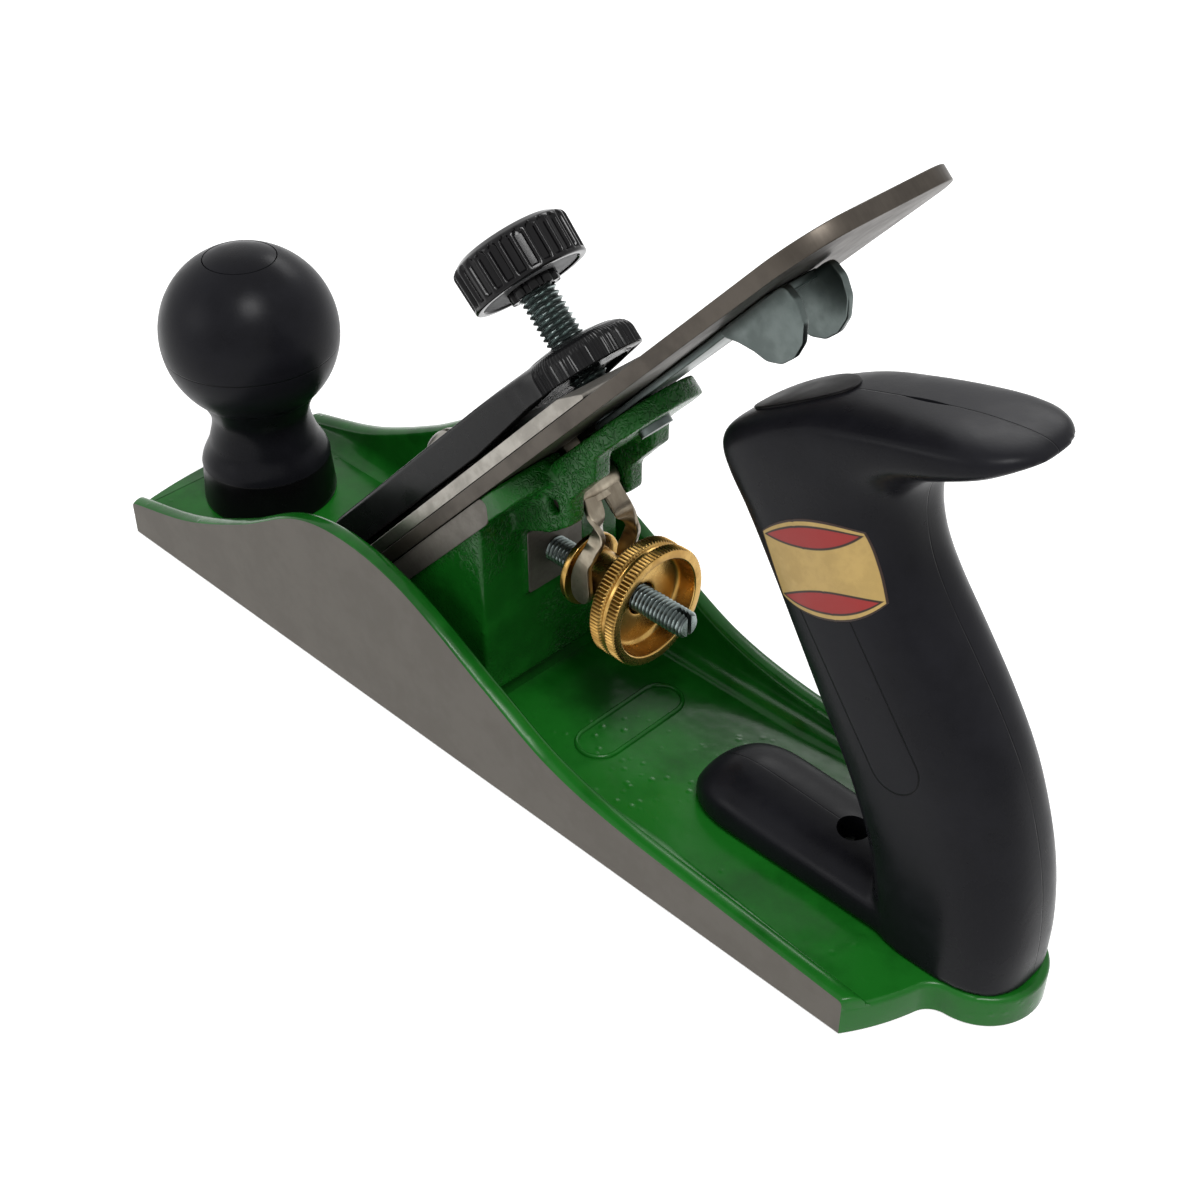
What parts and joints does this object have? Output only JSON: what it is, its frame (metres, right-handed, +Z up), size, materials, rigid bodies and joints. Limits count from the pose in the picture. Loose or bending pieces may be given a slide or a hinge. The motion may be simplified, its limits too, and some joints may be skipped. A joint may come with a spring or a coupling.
{
  "type": "smoothing plane",
  "caption": "Metal bench smoothing plane with a screw-clamped lever cap, adjustable iron, ball front knob and moulded rear handle",
  "frame": {"origin": "centre of the sole's bounding rectangle, on the sole plane", "axes": "+Z up, +X towards the heel and the rear handle, the toe and the front knob at -X, +Y towards the far cheek"},
  "size_m": [0.255, 0.06, 0.1486],
  "materials": {
    "green_enamel": "glossy green enamel on cast iron, ground bare on the sole and outer cheeks",
    "blade_steel": "dull rolled tool steel",
    "cap_steel": "satin ground steel",
    "zinc_steel": "zinc plated steel",
    "nickel_steel": "nickel plated bent sheet",
    "turned_brass": "turned and knurled brass",
    "black_enamel": "satin black enamel on a casting",
    "gloss_black": "glossy black moulded plastic",
    "handle_black": "satin black moulded plastic"
  },
  "bodies": {
    "root": {"body": "green_enamel", "frog": "green_enamel", "frog_screws": "zinc_steel", "frog_washers": "zinc_steel", "depth_stud": "zinc_steel", "yoke_pin": "zinc_steel", "lateral_rivet": "zinc_steel", "lever_cap_screw": "cap_steel", "knob_ring": "handle_black", "front_knob": "handle_black", "knob_stud": "zinc_steel", "knob_nut": "turned_brass", "knob_plug": "handle_black", "tote": "handle_black", "tote_stud": "zinc_steel", "tote_nut": "turned_brass", "tote_plug": "handle_black", "tote_toe_screw": "zinc_steel"},
    "yoke": {"yoke": "nickel_steel"},
    "wheel": {"depth_wheel": "turned_brass"},
    "iron": {"iron": "blade_steel", "cap_iron": "cap_steel", "cap_iron_screw": "cap_steel"},
    "lateral": {"lateral_lever": "zinc_steel"},
    "roller": {"lateral_roller": "zinc_steel"},
    "lever_cap": {"lever_cap": "black_enamel"},
    "clamp_screw": {"clamp_screw": "zinc_steel"},
    "clamp_knob": {"clamp_knob": "gloss_black"}
  },
  "joints": [
    {"name": "wheel_spin", "type": "hinge", "parent": "root", "child": "wheel", "pos_m": [0.0148, 0, 0.0423], "axis": [1, 0, 0], "range_deg": [-216.5, 216.5]},
    {"name": "yoke_rock", "type": "hinge", "parent": "root", "child": "yoke", "pos_m": [0.0109, 0, 0.06362], "axis": [0, 1, 0], "range_deg": [-1.63, 1.63]},
    {"name": "iron_slide", "type": "slide", "parent": "root", "child": "iron", "axis": [0.6909, 0, 0.723], "range_m": [-0.000377, 0.000377]},
    {"name": "lateral_swing", "type": "hinge", "parent": "root", "child": "lateral", "pos_m": [0.02347, 0, 0.08965], "axis": [-0.723, 0, 0.6909], "range_deg": [-0.4, 11.2]},
    {"name": "roller_spin", "type": "hinge", "parent": "lateral", "child": "roller", "pos_m": [0.01694, 0.00091, 0.08281], "axis": [-0.723, 0, 0.6909], "continuous": true},
    {"name": "lever_cap_slide", "type": "slide", "parent": "root", "child": "lever_cap", "axis": [0.6909, 0, 0.723], "range_m": [0, 0.0105]},
    {"name": "clamp_travel", "type": "slide", "parent": "lever_cap", "child": "clamp_screw", "axis": [-0.723, 0, 0.6909], "range_m": [0, 0.00375]},
    {"name": "clamp_turn", "type": "hinge", "parent": "clamp_screw", "child": "clamp_knob", "pos_m": [0.0123, 0, 0.08649], "axis": [-0.723, 0, 0.6909], "range_deg": [-0.5, 1080.5]}
  ],
  "couplings": [
    {"joint": "wheel_spin", "follows": "iron_slide", "rad_per_m": 9995.4},
    {"joint": "yoke_rock", "follows": "iron_slide", "rad_per_m": 74.627},
    {"joint": "clamp_turn", "follows": "clamp_travel", "rad_per_m": 5026.5}
  ]
}
